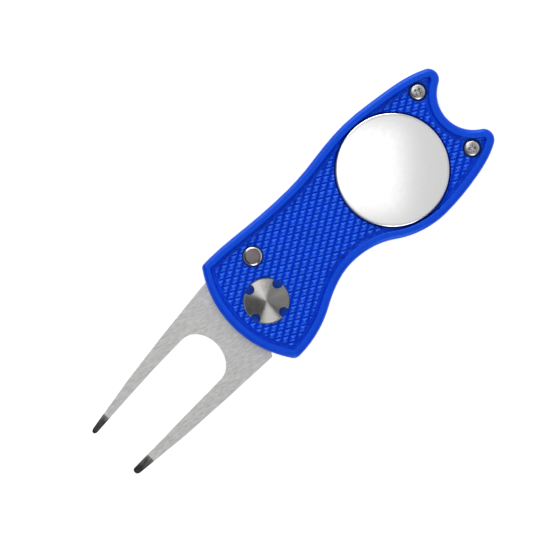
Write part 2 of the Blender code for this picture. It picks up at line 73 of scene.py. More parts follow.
BACK = box_mm("back_shell")[0].z
RIM = box_mm("front_shell")[1].z
MIDDLE = (RIM + BACK) / 2
FORK_LOW, FORK_HIGH = box_mm("fork")[0].z, box_mm("fork")[1].z
BUTTON_LOW, BUTTON_TOP = box_mm("release_button")[0].z, box_mm("release_button")[1].z
MARKER_PLACE = centre_mm("ball_marker")
MARKER_RADIUS = (box_mm("ball_marker")[1].x - box_mm("ball_marker")[0].x) / 2
MARKER_LOW, MARKER_TOP = box_mm("ball_marker")[0].z, box_mm("ball_marker")[1].z
MAGNET_RADIUS = (box_mm("marker_magnet")[1].x - box_mm("marker_magnet")[0].x) / 2
MAGNET_LOW = box_mm("marker_magnet")[0].z
PIN_PLACE = centre_mm("stop_pin")
PIN_RADIUS = (box_mm("stop_pin")[1].x - box_mm("stop_pin")[0].x) / 2
PIN_LOW, PIN_TOP = box_mm("stop_pin")[0].z, box_mm("stop_pin")[1].z
SCREWS = ("upper_screw", "lower_screw")
SCREW_LOW, SCREW_TOP = box_mm("upper_screw")[0].z, box_mm("upper_screw")[1].z
SCREW_HEAD_RADIUS = (box_mm("upper_screw")[1].x - box_mm("upper_screw")[0].x) / 2

# ---------------------------------------------------------------- sizes of the visible detail

SEAM = 0.05  # gap between the shells
EDGE_RADIUS = 0.9  # rounding of the shells' outer edges
EDGE_STEPS = 7
RIM_WIDTH = 1.62  # from the outline to where the rim starts to fall
PANEL_DEPTH = 1.35  # bottom of the moat around the panel
FLOOR_DEPTH = 1.22  # floor of the panel inside the moat
KNURL_DEPTH = 0.92  # foot of the knurl's pyramids
KNURL_HEIGHT = 0.27  # of the pyramids
KNURL_GROOVE = (0.42, 0.28)  # width and depth of the groove between pyramids
KNURL_BROW = (0.55, 0.07)  # share of the width, and the height, at which the faces turn steeper
KNURL_FLAT = 0.1  # share of each pyramid's width that is flat on top
KNURL_MARGIN = 2.75  # the knurl starts this far in from the outline
KNURL_LONG = 2.963  # diamond, along the handle
KNURL_WIDE = 1.798  # and across it
KNURL_SHIFT = (-1.65, -0.005)  # of the diamonds' corners from the pivot
SCREW_CLEARING = (1.1, 3.1)  # the unknurled disc at a screw: its shift along +X, and its radius
MARKER_GAP = 0.33  # between the marker and its seat
PEG_PLACES = ((20.5, 12.05), (38.0, 12.9))
PEG_RADIUS = 0.8
PEG_TOP = 6.4
LEG_ANGLE = -60.0  # direction of the torsion spring's fixed leg
LEG_SLOT = (5.6, 8.9)  # radii between which its slot runs
LEG_SLOT_HALF = 0.45
LEG_SLOT_FLOOR = 0.98
LEG_PLACE = (5.9, 930.0)  # radius and angle of the turning leg, with the fork at rest
LEG_HOLE = 0.42
COIL_RADIUS = 5.9
COIL_WIRE = 0.6
COIL_TURNS = 2.75
COIL_LOW, COIL_HIGH = 1.3, 3.17  # of the wire's middle
SPRING_RADIUS = 2.1
SPRING_WIRE = 0.4
SPRING_TURNS = 5.5
BUTTON_GAP = 5.16  # radius of the gap round the button's cap
PIN_GAP = 2.4  # and of the one round the pin
GAP_FLOOR = 7.8  # of both
BUTTON_PAINTED_SHADE = (4.0, 5.6)  # radii between which the painted shade on the moulding round the button fades
PAD_RADIUS = 9.0  # flat pad on the back
CAVITY = 2.1  # height of the fork's room between the shells
BUTTON_RADIUS = 4.8
BUTTON_NOTCH = 1.2  # radius of the notches in the locking collar
CAP_NOTCH = 1.25  # and in the cap
NOTCH_INWARD = 0.25  # centres of the cap's notches, in from its edge
BUTTON_SLOPE = 0.18  # fall of the cap's dished face, outwards
BUTTON_INSIDE = (2.6, 6.2)  # radius and top of the room for the button's spring
NECK_RADIUS = 3.8
LUG_TOP = 7.5
LUG_CLEARANCE = 0.12
NOTCH_ANGLE = 13.0  # of the first notch from +X
FLANGE_RADIUS = 5.6
FLANGE_TOP = 7.35
CLEARANCE = 0.22  # round moving parts
PRESS_GAP = 0.07  # round fixed ones
COUNTERBORE_RADIUS = 2.1
SCREW_SHANK = 0.9
SCREW_BORE = 1.15
SCREW_SEAT = 6.3
POCKET_RADIUS = 6.5  # room for the torsion spring
POCKET_FLOOR = 0.9

# ---------------------------------------------------------------- outlines, as in the CAD model

HANDLE_KNOTS = (
    (-3.1, -13.65, 0.5),
    (8.8, -10.5, 29.0),
    (19.4, -7.2, 0.0),
    (29.8, -10.35, -35.0),
    (41.7, -14.05, 0.0),
    (52.2, -13.0, 10.5),
    (59.85, -10.5, 30.0),
    (61.15, -8.35, 90.0),
    (60.05, -6.3, 148.0),
    (56.3, 0.45, 90.0),
    (60.5, 7.45, 28.0),
    (61.8, 9.55, 90.0),
    (60.5, 11.7, 154.0),
    (50.0, 14.5, 172.0),
    (39.0, 15.65, 180.0),
    (29.5, 14.85, 188.5),
    (20.4, 14.1, 180.0),
    (8.0, 14.75, 174.5),
    (-2.5, 15.5, 180.0),
    (-4.2, 15.45, 181.0),
    (-5.03, 15.0, 235.5),
    (-9.25, 1.2, 270.0),
    (-4.75, -12.95, 305.0),
)
UPPER_PRONG_KNOTS = (
    (2.3, 12.5, 180.0),
    (-8.8, 12.15, 186.0),
    (-46.2, 7.0, 191.0),
    (-47.5, 6.2, 270.0),
    (-46.5, 5.65, 3.5),
    (-19.3, 6.98, 0.0),
)
LOWER_PRONG_KNOTS = (
    (-19.5, -5.17, 180.0),
    (-46.5, -5.65, 180.6),
    (-47.1, -6.5, 270.0),
    (-46.2, -7.3, 352.8),
    (-7.95, -9.62, 358.0),
    (-7.33, -9.03, 411.0),
)
CROTCH_KNOTS = (
    (-19.3, 6.98, 0.0),
    (-14.44, 1.1, 270.0),
    (-19.5, -5.17, 180.0),
)
TANG_RADIUS = 8.05
OPEN_SHOULDER = 74.8  # angles of the shoulders that meet the stop pin
CLOSED_SHOULDER = 229.0
SHOULDER_TOP = 12.0
SPINE_WALL_Y = 10.0
TAIL_WALL_Y = 13.1
SWING_RADIUS = 48.7
FORK_TILT = 2.3
GROUND_LENGTH = 5.2
GROUND_DEPTH = 0.45
TIP_REACH = 47.6


def arc(centre, radius, start, end, step=ARC_STEP):
    """Points of an arc from one angle to another; it runs clockwise where the end is the smaller."""
    count = max(2, math.ceil(abs(end - start) / step))
    angles = [math.radians(start + (end - start) * i / count) for i in range(count + 1)]
    return [(centre[0] + radius * math.cos(a), centre[1] + radius * math.sin(a)) for a in angles]


def bend(start, heading, end, end_heading):
    """Points of a smooth curve between two points, given the direction of travel at each."""
    turn = (end_heading - heading + 180.0) % 360.0 - 180.0
    chord = math.dist(start, end)
    reach = chord / (3.0 * math.cos(math.radians(turn) / 4.0) ** 2)
    out, back = math.radians(heading), math.radians(end_heading)
    second = (start[0] + reach * math.cos(out), start[1] + reach * math.sin(out))
    third = (end[0] - reach * math.cos(back), end[1] - reach * math.sin(back))
    count = max(3, math.ceil(abs(turn) / ARC_STEP))
    points = []
    for i in range(count + 1):
        t = i / count
        weights = ((1 - t) ** 3, 3 * t * (1 - t) ** 2, 3 * t * t * (1 - t), t**3)
        corners = (start, second, third, end)
        points.append(tuple(sum(w * c[k] for w, c in zip(weights, corners)) for k in (0, 1)))
    return points


def chain(knots):
    points = []
    for (x0, y0, heading0), (x1, y1, heading1) in zip(knots, knots[1:]):
        points += bend((x0, y0), heading0, (x1, y1), heading1)
    return points


def without_repeats(points, closest=0.01):
    """The closed outline with each run of points that coincide made one."""
    kept = []
    for point in points:
        if not kept or math.dist(point, kept[-1]) > closest:
            kept.append(point)
    if math.dist(kept[0], kept[-1]) <= closest:
        kept.pop()
    return kept


def unit(start, end):
    length = math.dist(start, end)
    return (end[0] - start[0]) / length, (end[1] - start[1]) / length


def grown(points, distance):
    """The anticlockwise outline with each side moved out by a distance, or in where it is negative."""
    moved = []
    for i, (x, y) in enumerate(points):
        before = unit(points[i - 1], points[i])
        after = unit(points[i], points[(i + 1) % len(points)])
        sum_x, sum_y = before[0] + after[0], before[1] + after[1]
        mitre = 2.0 * distance / (sum_x * sum_x + sum_y * sum_y)
        moved.append((x + sum_y * mitre, y - sum_x * mitre))
    return moved


def crossing(a, b, c, d):
    """Where the segment from a to b crosses the one from c to d, or None."""
    ab, cd, ac = (b[0] - a[0], b[1] - a[1]), (d[0] - c[0], d[1] - c[1]), (c[0] - a[0], c[1] - a[1])
    spread = ab[0] * cd[1] - ab[1] * cd[0]
    if abs(spread) < 1e-12:
        return None
    t = (ac[0] * cd[1] - ac[1] * cd[0]) / spread
    s = (ac[0] * ab[1] - ac[1] * ab[0]) / spread
    if 0.0 <= t <= 1.0 and 0.0 <= s <= 1.0:
        return a[0] + ab[0] * t, a[1] + ab[1] * t
    return None


def inset(points, distance, longest_loop=90):
    """The outline moved in by a distance, with the loops that this makes at tight corners cut off."""
    moved = grown(points, -distance)
    start = max(range(len(moved)), key=lambda i: math.dist(moved[i], moved[i - 1]))
    moved = moved[start:] + moved[:start]
    i = 0
    while i < len(moved) - 3:
        for j in range(min(len(moved) - 2, i + longest_loop), i + 1, -1):
            meeting = crossing(moved[i], moved[i + 1], moved[j], moved[j + 1])
            if meeting:
                moved[i + 1 : j + 1] = [meeting]
                break
        i += 1
    return without_repeats(moved, 0.02)


def handle_outline():
    return without_repeats(chain(HANDLE_KNOTS + HANDLE_KNOTS[:1]))


def fork_outline():
    shoulder = arc((0, 0), SHOULDER_TOP, OPEN_SHOULDER, OPEN_SHOULDER)[0]
    points = arc((0, 0), TANG_RADIUS, CLOSED_SHOULDER - 360.0, OPEN_SHOULDER)
    points += bend(shoulder, OPEN_SHOULDER, UPPER_PRONG_KNOTS[0][:2], UPPER_PRONG_KNOTS[0][2])
    points += chain(UPPER_PRONG_KNOTS)
    points += chain(CROTCH_KNOTS)
    points += chain(LOWER_PRONG_KNOTS)
    return without_repeats(points)


def cavity_outline():
    far = 60.0
    corner = math.degrees(math.asin(SPINE_WALL_Y / SWING_RADIUS))
    points = [(-far, -far), (SWING_RADIUS * math.cos(math.radians(45.0)), -far)]
    points += arc((0, 0), SWING_RADIUS, -45.0, corner)
    points += [(9.0, SPINE_WALL_Y), (3.4, TAIL_WALL_Y), (-far, TAIL_WALL_Y)]
    return points


def lobed_outline(radius, notch, inward=0.0, step=4.0):
    """A circle with four round notches, centred so far in from its edge."""
    away = radius - inward
    half = math.acos((radius * radius + away * away - notch * notch) / (2.0 * radius * away))
    mouth = math.degrees(math.atan2(radius * math.sin(half), radius * math.cos(half) - away))
    half = math.degrees(half)
    points = []
    for k in range(4):
        angle = NOTCH_ANGLE + 90.0 * k
        points += arc((0, 0), radius, angle - 90.0 + half, angle - half, step)
        centre = arc((0, 0), away, angle, angle)[0]
        points += arc(centre, notch, angle - mouth, angle - 360.0 + mouth, 3 * step)
    return without_repeats(points)


# ---------------------------------------------------------------- mesh helpers


def finished(name, bm, place=(0, 0)):
    """The object of a bmesh whose points are in metres about a place in millimetres."""
    bmesh.ops.recalc_face_normals(bm, faces=bm.faces)
    mesh = bpy.data.meshes.new(name)
    bm.to_mesh(mesh)
    bm.free()
    obj = bpy.data.objects.new(name, mesh)
    obj.location = (place[0] * MM, place[1] * MM, 0.0)
    bpy.context.scene.collection.objects.link(obj)
    return obj


def stack(name, layers):
    """A solid through layers of (outline, z), whose outlines all have the same number of points."""
    bm = bmesh.new()
    rings = [[bm.verts.new((x * MM, y * MM, z * MM)) for x, y in outline] for outline, z in layers]
    for low, high in zip(rings, rings[1:]):
        for i in range(len(low)):
            bm.faces.new((low[i - 1], low[i], high[i], high[i - 1]))
    bm.faces.new(rings[0])
    bm.faces.new(rings[-1])
    return finished(name, bm)


def prism(name, outline, low, high):
    return stack(name, [(outline, low), (outline, high)])


def turned(name, profile, place=(0, 0), steps=96):
    """A solid turned about a vertical axis from a profile of (radius, z)."""
    bm = bmesh.new()
    verts = [bm.verts.new((radius * MM, 0.0, z * MM)) for radius, z in profile]
    edges = [bm.edges.new(pair) for pair in zip(verts, verts[1:])]
    spin = {"cent": (0, 0, 0), "axis": (0, 0, 1), "angle": math.tau, "steps": steps, "use_merge": True}
    bmesh.ops.spin(bm, geom=verts + edges, **spin)
    bmesh.ops.remove_doubles(bm, verts=bm.verts, dist=1e-7)
    return finished(name, bm, place)


def hole(name, radius, low, high, place=(0, 0), steps=64):
    return turned(name, [(0, low), (radius, low), (radius, high), (0, high)], place, steps)


def applied(obj):
    """The object with its modifiers made part of its mesh."""
    graph = bpy.context.evaluated_depsgraph_get()
    mesh = bpy.data.meshes.new_from_object(obj.evaluated_get(graph))
    obj.modifiers.clear()
    obj.data = mesh
    return obj


def combine(target, others, operation):
    """Joins or cuts the target with each of the others, and removes them."""
    for other in others:
        modifier = target.modifiers.new(other.name, "BOOLEAN")
        modifier.operation = operation
        modifier.solver = "EXACT"
        modifier.object = other
        bpy.context.view_layer.update()
        applied(target)
        bpy.data.objects.remove(other)
    return target


def smoothed(obj, angle=28.0):
    """Smooth shading that keeps flat faces flat and edges over the angle sharp."""
    obj.data.shade_smooth()
    obj.data.set_sharp_from_angle(angle=math.radians(angle))
    weighted = obj.modifiers.new("flat_faces_stay_flat", "WEIGHTED_NORMAL")
    weighted.keep_sharp = True
    weighted.weight = 100
    return obj


# ---------------------------------------------------------------- camera, light and floor

VIEW_CENTRE = (5.34, 2.585)
VIEW_WIDTH = 120.8
VIEW_TURN = -44.7  # the picture's right-hand direction, from +X
CAMERA_HEIGHT = 1600.0


def add_camera():
    camera = bpy.data.objects.new("camera", bpy.data.cameras.new("camera"))
    camera.data.sensor_width = 36.0
    camera.data.lens = camera.data.sensor_width * CAMERA_HEIGHT / VIEW_WIDTH
    camera.data.clip_end = 20.0
    camera.location = (VIEW_CENTRE[0] * MM, VIEW_CENTRE[1] * MM, (CAMERA_HEIGHT + RIM) * MM)
    camera.rotation_euler = (0.0, 0.0, math.radians(VIEW_TURN))
    bpy.context.scene.collection.objects.link(camera)
    bpy.context.scene.camera = camera


def panel_light(name, place, size, radiance):
    """A rectangular light at a place in the picture's own directions, aimed at the tool."""
    light = bpy.data.lights.new(name, "AREA")
    light.shape = "RECTANGLE"
    light.size, light.size_y = size
    light.energy = radiance * math.pi * size[0] * size[1]
    obj = bpy.data.objects.new(name, light)
    turn = math.radians(VIEW_TURN)
    across, up, height = place
    x = across * math.cos(turn) - up * math.sin(turn)
    y = across * math.sin(turn) + up * math.cos(turn)
    way = Vector((x, y, height))
    obj.location = Vector((VIEW_CENTRE[0] * MM, VIEW_CENTRE[1] * MM, RIM * MM)) + way
    obj.rotation_euler = way.to_track_quat("Z", "Y").to_euler()
    bpy.context.scene.collection.objects.link(obj)
    return obj


def softbox(name, around, elevation, spread, height, radiance):
    """A panel one metre away, at angles round from the picture's right and up, with its angular size."""
    turn, tilt = math.radians(around), math.radians(elevation)
    place = (math.cos(turn) * math.cos(tilt), math.sin(turn) * math.cos(tilt), math.sin(tilt))
    wide = 2 * math.cos(tilt) * math.tan(math.radians(spread / 2))
    tall = 2 * math.tan(math.radians(height / 2))
    return panel_light(name, place, (wide, tall), radiance)


def overhead(name, across, up, height, radiance):
    """A level panel above the camera, spanning so far across and up the picture, in metres."""
    size = (across[1] - across[0], up[1] - up[0])
    panel = panel_light(name, (sum(across) / 2, sum(up) / 2, height), size, radiance)
    panel.rotation_euler = (0.0, 0.0, math.radians(VIEW_TURN))
    return panel


def add_world(low, high):
    """A light tent: bright near the floor, dim above."""
    world = bpy.data.worlds.new("studio")
    world.use_nodes = True
    nodes, links = world.node_tree.nodes, world.node_tree.links
    place = nodes.new("ShaderNodeTexCoord")
    apart = nodes.new("ShaderNodeSeparateXYZ")
    fade = nodes.new("ShaderNodeMapRange")
    fade.interpolation_type = "SMOOTHSTEP"
    for name, value in (("From Min", 0.3), ("From Max", 0.5), ("To Min", low), ("To Max", high)):
        fade.inputs[name].default_value = value
    links.new(place.outputs["Generated"], apart.inputs["Vector"])
    links.new(apart.outputs["Z"], fade.inputs["Value"])
    links.new(fade.outputs["Result"], nodes["Background"].inputs["Strength"])
    nodes["Background"].inputs["Color"].default_value = (1.0, 1.0, 1.0, 1.0)
    bpy.context.scene.world = world


def add_floor():
    bm = bmesh.new()
    half = 2.0
    corners = ((-half, -half), (half, -half), (half, half), (-half, half))
    bm.faces.new([bm.verts.new((x, y, 0.0)) for x, y in corners])
    floor = finished("floor", bm)
    floor.location.z = BACK * MM - 0.00002
    white = new_material("floor_white", (0.35, 0.35, 0.35), 0.9)
    shader = white.node_tree.nodes["Principled BSDF"]
    shader.inputs["Emission Color"].default_value = (1.0, 1.0, 1.0, 1.0)
    shader.inputs["Emission Strength"].default_value = 0.85
    floor.data.materials.append(white)


def add_lights():
    add_world(0.5, 0.03)
    softbox("upper_softbox", 110.0, 36.0, 50.0, 48.0, 3.3)
    softbox("upper_strip", 133.0, 70.0, 48.0, 18.0, 1.9)
    softbox("lower_softbox", 281.0, 40.0, 36.0, 58.0, 2.7)
    softbox("right_fill_high", 60.0, 45.0, 60.0, 50.0, 0.62)
    softbox("right_fill_low", 3.0, 45.0, 50.0, 50.0, 0.62)
    overhead("overhead_wide", (-0.36, 0.42), (-0.30, 0.40), 2.2, 0.63)
    overhead("overhead_key", (-0.30, 0.09), (-0.08, 0.19), 2.1, 0.58)
    settings = bpy.context.scene.view_settings
    settings.view_transform = "Standard"
    settings.look = "None"


# ---------------------------------------------------------------- materials


def new_material(name, colour, roughness, metallic=0.0):
    made = bpy.data.materials.new(name)
    made.use_nodes = True
    shader = made.node_tree.nodes["Principled BSDF"]
    shader.inputs["Base Color"].default_value = (*colour, 1.0)
    shader.inputs["Roughness"].default_value = roughness
    shader.inputs["Metallic"].default_value = metallic
    return made


def add_node(material, kind, inputs=None, **settings):
    node = material.node_tree.nodes.new(kind)
    for key, value in settings.items():
        setattr(node, key, value)
    for key, value in (inputs or {}).items():
        node.inputs[key].default_value = value
    return node


def link(material, source, target):
    material.node_tree.links.new(source, target)


def noise(material, scale, stretch=1.0, heading=0.0, detail=4.0, roughness=0.55):
    """Noise in object coordinates, at so many features a metre, drawn out along a heading from +X."""
    place = add_node(material, "ShaderNodeTexCoord")
    mapping = add_node(material, "ShaderNodeMapping", vector_type="TEXTURE")
    mapping.inputs["Scale"].default_value = (stretch, 1.0, 1.0)
    mapping.inputs["Rotation"].default_value = (0.0, 0.0, math.radians(heading))
    levels = {"Scale": scale, "Detail": detail, "Roughness": roughness}
    pattern = add_node(material, "ShaderNodeTexNoise", levels)
    link(material, place.outputs["Object"], mapping.inputs["Vector"])
    link(material, mapping.outputs["Vector"], pattern.inputs["Vector"])
    return pattern.outputs["Fac"]


def ramp(material, factor, stops):
    """A colour ramp of (position, colour) over a factor."""
    node = add_node(material, "ShaderNodeValToRGB")
    elements = node.color_ramp.elements
    while len(elements) < len(stops):
        elements.new(0.5)
    for element, (position, colour) in zip(elements, stops):
        element.position = position
        element.color = (*colour, 1.0)
    link(material, factor, node.inputs["Fac"])
    return node.outputs["Color"]


def remap(material, factor, low, high):
    """A factor of about 0.3 to 0.7 spread over the range from low to high."""
    levels = {"From Min": 0.3, "From Max": 0.7, "To Min": low, "To Max": high}
    node = add_node(material, "ShaderNodeMapRange", levels)
    link(material, factor, node.inputs["Value"])
    return node.outputs["Result"]


def bump(material, factor, distance, strength):
    node = add_node(material, "ShaderNodeBump", {"Distance": distance, "Strength": strength})
    link(material, factor, node.inputs["Height"])
    link(material, node.outputs["Normal"], material.node_tree.nodes["Principled BSDF"].inputs["Normal"])


def painted_recess_shade(material):
    """1 where shade is painted onto the front moulding: in the button's notches, fading out round the
    button, and in the gaps round the pin, the marker and the screws; else 0.
    """
    place = add_node(material, "ShaderNodeTexCoord")
    flat = add_node(material, "ShaderNodeVectorMath", {1: (1.0, 1.0, 0.0)}, operation="MULTIPLY")
    apart = add_node(material, "ShaderNodeSeparateXYZ")
    link(material, place.outputs["Object"], flat.inputs[0])
    link(material, place.outputs["Object"], apart.inputs["Vector"])
    rings = [(PIN_PLACE, 0.0, PIN_GAP)]
    rings += [(MARKER_PLACE, MARKER_RADIUS - 0.2, MARKER_RADIUS + MARKER_GAP)]
    rings += [(centre_mm(name), 0.0, COUNTERBORE_RADIUS) for name in SCREWS]
    from_pivot = add_node(material, "ShaderNodeVectorMath", operation="LENGTH")
    near_radius, far_radius = BUTTON_PAINTED_SHADE
    levels = {"From Min": near_radius * MM, "From Max": far_radius * MM, "To Min": 1.0, "To Max": 0.0}
    shade = add_node(material, "ShaderNodeMapRange", levels)
    link(material, flat.outputs["Vector"], from_pivot.inputs[0])
    link(material, from_pivot.outputs["Value"], shade.inputs["Value"])
    inside = shade.outputs["Result"]
    for (x, y), near_edge, far_edge in rings:
        spot = {1: (x * MM, y * MM, 0.0)}
        away = add_node(material, "ShaderNodeVectorMath", spot, operation="DISTANCE")
        middle, half = (near_edge + far_edge + 0.05) / 2, (far_edge + 0.05 - near_edge) / 2
        span = {1: middle * MM, 2: half * MM}
        near = add_node(material, "ShaderNodeMath", span, operation="COMPARE")
        link(material, flat.outputs["Vector"], away.inputs[0])
        link(material, away.outputs["Value"], near.inputs[0])
        either = add_node(material, "ShaderNodeMath", operation="MAXIMUM")
        link(material, inside, either.inputs[0])
        link(material, near.outputs["Value"], either.inputs[1])
        inside = either.outputs["Value"]
    front = add_node(material, "ShaderNodeMath", {1: MIDDLE * MM}, operation="GREATER_THAN")
    both = add_node(material, "ShaderNodeMath", operation="MULTIPLY")
    link(material, apart.outputs["Z"], front.inputs[0])
    link(material, front.outputs["Value"], both.inputs[0])
    link(material, inside, both.inputs[1])
    return both.outputs["Value"]


def blue_moulding():
    """Glossy blue moulding, with shade painted in dark navy on the front, round the button and the other
    parts.
    """
    material = new_material("blue_moulding", (0.001, 0.044, 0.58), 0.3)
    shader = material.node_tree.nodes["Principled BSDF"]
    shader.inputs["Specular IOR Level"].default_value = 1.0
    shader.inputs["Specular Tint"].default_value = (0.145, 0.48, 1.0, 1.0)
    cloud = noise(material, 300.0, detail=3.0)
    base = ramp(material, cloud, [(0.35, (0.0008, 0.044, 0.64)), (0.65, (0.0012, 0.050, 0.69))])
    # Painted shade: dark navy stands in for the shadow in the button's notches, round the button and in the
    # gaps round the pin, marker and screws.
    painted_shade_navy = (0.003, 0.002, 0.23, 1.0)
    with_painted_shade = add_node(material, "ShaderNodeMix", {"B": painted_shade_navy}, data_type="RGBA")
    link(material, painted_recess_shade(material), with_painted_shade.inputs["Factor"])
    link(material, base, with_painted_shade.inputs["A"])
    link(material, with_painted_shade.outputs["Result"], shader.inputs["Base Color"])
    grain = noise(material, 9000.0, detail=2.0)
    link(material, remap(material, grain, 0.25, 0.35), shader.inputs["Roughness"])
    bump(material, grain, 0.000004, 0.5)
    return material


def brushed_stainless():
    """Sheet steel brushed at a slant to the prongs, with their tips ground thin and coloured darker towards
    the ends.
    """
    material = new_material("brushed_stainless", (0.62, 0.62, 0.61), 0.35, 1.0)
    shader = material.node_tree.nodes["Principled BSDF"]
    streaks = noise(material, 2500.0, 3.4, -15.0, detail=6.0, roughness=0.75)
    bright = ramp(material, streaks, [(0.3, (0.54, 0.54, 0.535)), (0.7, (0.87, 0.87, 0.86))])
    place = add_node(material, "ShaderNodeTexCoord")
    along = add_node(material, "ShaderNodeMapping")
    along.inputs["Rotation"].default_value = (0.0, 0.0, math.radians(-FORK_TILT))
    apart = add_node(material, "ShaderNodeSeparateXYZ")
    link(material, place.outputs["Object"], along.inputs["Vector"])
    link(material, along.outputs["Vector"], apart.inputs["Vector"])
    reach = {"From Min": -(TIP_REACH - GROUND_LENGTH) * MM, "From Max": -TIP_REACH * MM}
    ground = add_node(material, "ShaderNodeMapRange", reach)
    link(material, apart.outputs["X"], ground.inputs["Value"])
    edge = add_node(material, "ShaderNodeMath", {1: 0.02}, operation="GREATER_THAN")
    link(material, ground.outputs["Result"], edge.inputs[0])
    tones = [(0.0, (0.34, 0.33, 0.325)), (0.22, (0.16, 0.15, 0.15)), (1.0, (0.045, 0.044, 0.044))]
    dark = ramp(material, ground.outputs["Result"], tones)
    mottle = noise(material, 3600.0, 6.25, FORK_TILT, detail=3.0)
    times = {"data_type": "RGBA", "blend_type": "MULTIPLY"}
    mottled = add_node(material, "ShaderNodeMix", {"Factor": 1.0}, **times)
    grey = ramp(material, mottle, [(0.35, (0.45, 0.45, 0.45)), (0.65, (1.4, 1.4, 1.4))])
    link(material, dark, mottled.inputs["A"])
    link(material, grey, mottled.inputs["B"])
    both = add_node(material, "ShaderNodeMix", data_type="RGBA")
    link(material, edge.outputs["Value"], both.inputs["Factor"])
    link(material, bright, both.inputs["A"])
    link(material, mottled.outputs["Result"], both.inputs["B"])
    link(material, both.outputs["Result"], shader.inputs["Base Color"])
    link(material, remap(material, streaks, 0.3, 0.42), shader.inputs["Roughness"])
    bump(material, streaks, 0.000006, 0.5)
    return material


def turned_steel():
    """Steel faced on a lathe, so that its sheen fans out from the middle."""
    material = new_material("turned_steel", (0.355, 0.345, 0.34), 0.42, 1.0)
    shader = material.node_tree.nodes["Principled BSDF"]
    shader.inputs["Anisotropic"].default_value = 0.9
    shader.inputs["Anisotropic Rotation"].default_value = 0.25
    tangent = add_node(material, "ShaderNodeTangent", direction_type="RADIAL", axis="Z")
    link(material, tangent.outputs["Tangent"], shader.inputs["Tangent"])
    cloud = noise(material, 900.0)
    link(material, remap(material, cloud, 0.22, 0.28), shader.inputs["Roughness"])
    return material


def plain_metal(name, colour, low, high):
    """Bright metal whose roughness varies from low to high."""
    material = new_material(name, colour, (low + high) / 2, 1.0)
    shader = material.node_tree.nodes["Principled BSDF"]
    cloud = noise(material, 1200.0)
    link(material, remap(material, cloud, low, high), shader.inputs["Roughness"])
    return material


def pin_steel():
    """Polished steel whose end face is coloured darker."""
    material = plain_metal("pin_steel", (0.7, 0.68, 0.67), 0.16, 0.24)
    place = add_node(material, "ShaderNodeTexCoord")
    apart = add_node(material, "ShaderNodeSeparateXYZ")
    levels = {"From Min": (PIN_TOP - 0.06) * MM, "From Max": (PIN_TOP - 0.02) * MM}
    face = add_node(material, "ShaderNodeMapRange", levels)
    link(material, place.outputs["Object"], apart.inputs["Vector"])
    link(material, apart.outputs["Z"], face.inputs["Value"])
    tones = ramp(material, face.outputs["Result"], [(0.0, (0.7, 0.68, 0.67)), (1.0, (0.2, 0.17, 0.18))])
    link(material, tones, material.node_tree.nodes["Principled BSDF"].inputs["Base Color"])
    return material


# ---------------------------------------------------------------- handle shells


def rounded_shell(name, outline, outer, inner):
    """Shell body from its outer face, with the rounded edge, to the parting face with its edge broken."""
    up = 1.0 if inner > outer else -1.0
    layers = []
    for i in range(EDGE_STEPS + 1):
        angle = math.radians(90.0 * i / EDGE_STEPS)
        pulled_in = EDGE_RADIUS * (1.0 - math.sin(angle))
        risen = EDGE_RADIUS * (1.0 - math.cos(angle))
        layers.append((grown(outline, -pulled_in), outer + up * risen))
    layers.append((outline, inner - up * 0.12))
    layers.append((grown(outline, -0.1), inner))
    return stack(name, layers)


def panel_cutter(name, outline, outer, inward):
    """Cutter for the sunk panel: a rounded brink, a steep wall and a small fillet down to the floor."""
    foot = RIM_WIDTH + 0.7
    floor = inset(outline, foot)
    brink = ((-0.05, -0.6), (-0.05, 0.0), (0.05, 0.015), (0.13, 0.06), (0.17, 0.14))
    wall = ((0.36, PANEL_DEPTH - 0.25), (0.46, PANEL_DEPTH - 0.08), (0.6, PANEL_DEPTH))
    layers = []
    for beyond, depth in brink + wall:
        layers.append((grown(floor, foot - RIM_WIDTH - beyond), outer + inward * depth))
    return stack(name, layers)


def panel_floor(name, outline, outer, inward):
    """The floor inside the moat, with a sloping edge."""
    top = inset(outline, KNURL_MARGIN)
    layers = [(grown(top, 0.42), outer + inward * (PANEL_DEPTH + 0.2))]
    layers.append((grown(top, 0.4), outer + inward * (PANEL_DEPTH - 0.03)))
    layers.append((grown(top, 0.1), outer + inward * FLOOR_DEPTH))
    return stack(name, layers)


